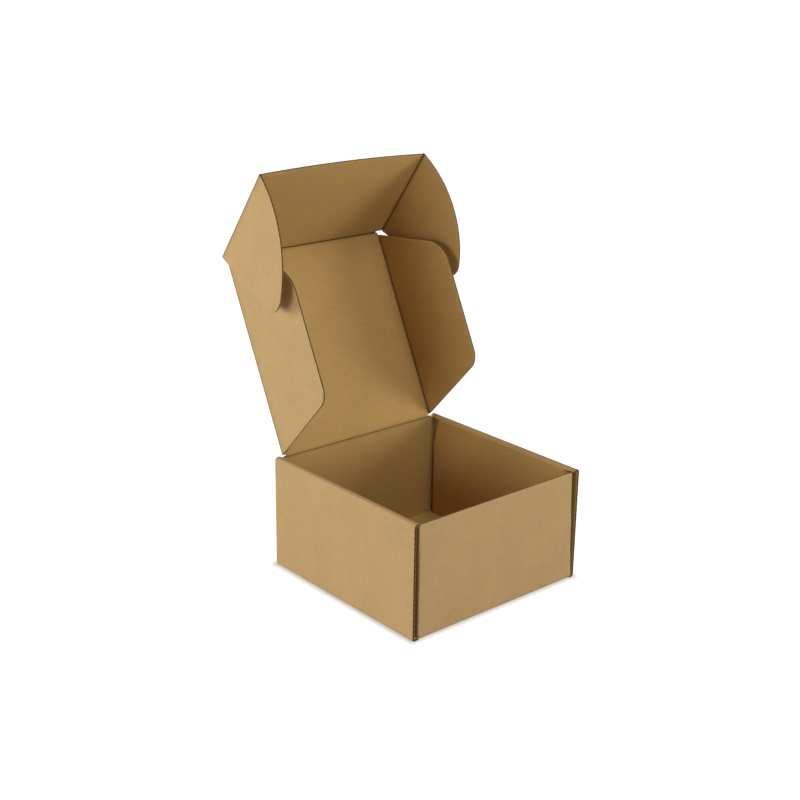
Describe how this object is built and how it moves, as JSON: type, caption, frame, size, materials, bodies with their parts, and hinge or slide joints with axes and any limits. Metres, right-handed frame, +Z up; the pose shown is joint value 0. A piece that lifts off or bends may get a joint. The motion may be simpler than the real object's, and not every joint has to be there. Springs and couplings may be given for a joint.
{
  "type": "corrugated mailer box",
  "caption": "Kraft corrugated mailer box with rolled double side walls and a hinged lid that has side flaps and a tuck flap with rounded ears, for posting small goods.",
  "frame": {"origin": "centre of the underside of the base", "axes": "+Z up; front wall towards -Y, lid crease along X at the back"},
  "size_m": [0.1396, 0.182, 0.2408],
  "materials": {
    "kraft_board": "uncoated kraft liner, matt"
  },
  "bodies": {
    "tray": {"tray": "kraft_board"},
    "lid_panel": {"lid_panel": "kraft_board"},
    "left_lid_flap": {"left_lid_flap": "kraft_board"},
    "right_lid_flap": {"right_lid_flap": "kraft_board"},
    "tuck_flap": {"tuck_flap": "kraft_board"},
    "left_ear": {"left_ear": "kraft_board"},
    "right_ear": {"right_ear": "kraft_board"}
  },
  "joints": [
    {"name": "lid_crease", "type": "hinge", "parent": "tray", "child": "lid_panel", "pos_m": [0, 0.06275, 0.0696], "axis": [-1, 0, 0], "range_deg": [-90, 90]},
    {"name": "left_lid_flap_crease", "type": "hinge", "parent": "lid_panel", "child": "left_lid_flap", "pos_m": [-0.0585, 0.06208, 0.06993], "axis": [0, 0.4384, 0.8988], "range_deg": [0, 85]},
    {"name": "right_lid_flap_crease", "type": "hinge", "parent": "lid_panel", "child": "right_lid_flap", "pos_m": [0.0585, 0.06208, 0.06993], "axis": [0, -0.4384, -0.8988], "range_deg": [0, 85]},
    {"name": "tuck_flap_crease", "type": "hinge", "parent": "lid_panel", "child": "tuck_flap", "pos_m": [0, 0.11705, 0.18264], "axis": [1, 0, 0], "range_deg": [-62, 28]},
    {"name": "left_ear_crease", "type": "hinge", "parent": "tuck_flap", "child": "left_ear", "pos_m": [-0.0618, 0.11705, 0.18264], "axis": [0, -0.5878, 0.809], "range_deg": [-84, 5]},
    {"name": "right_ear_crease", "type": "hinge", "parent": "tuck_flap", "child": "right_ear", "pos_m": [0.0618, 0.11705, 0.18264], "axis": [0, 0.5878, -0.809], "range_deg": [-84, 5]}
  ]
}
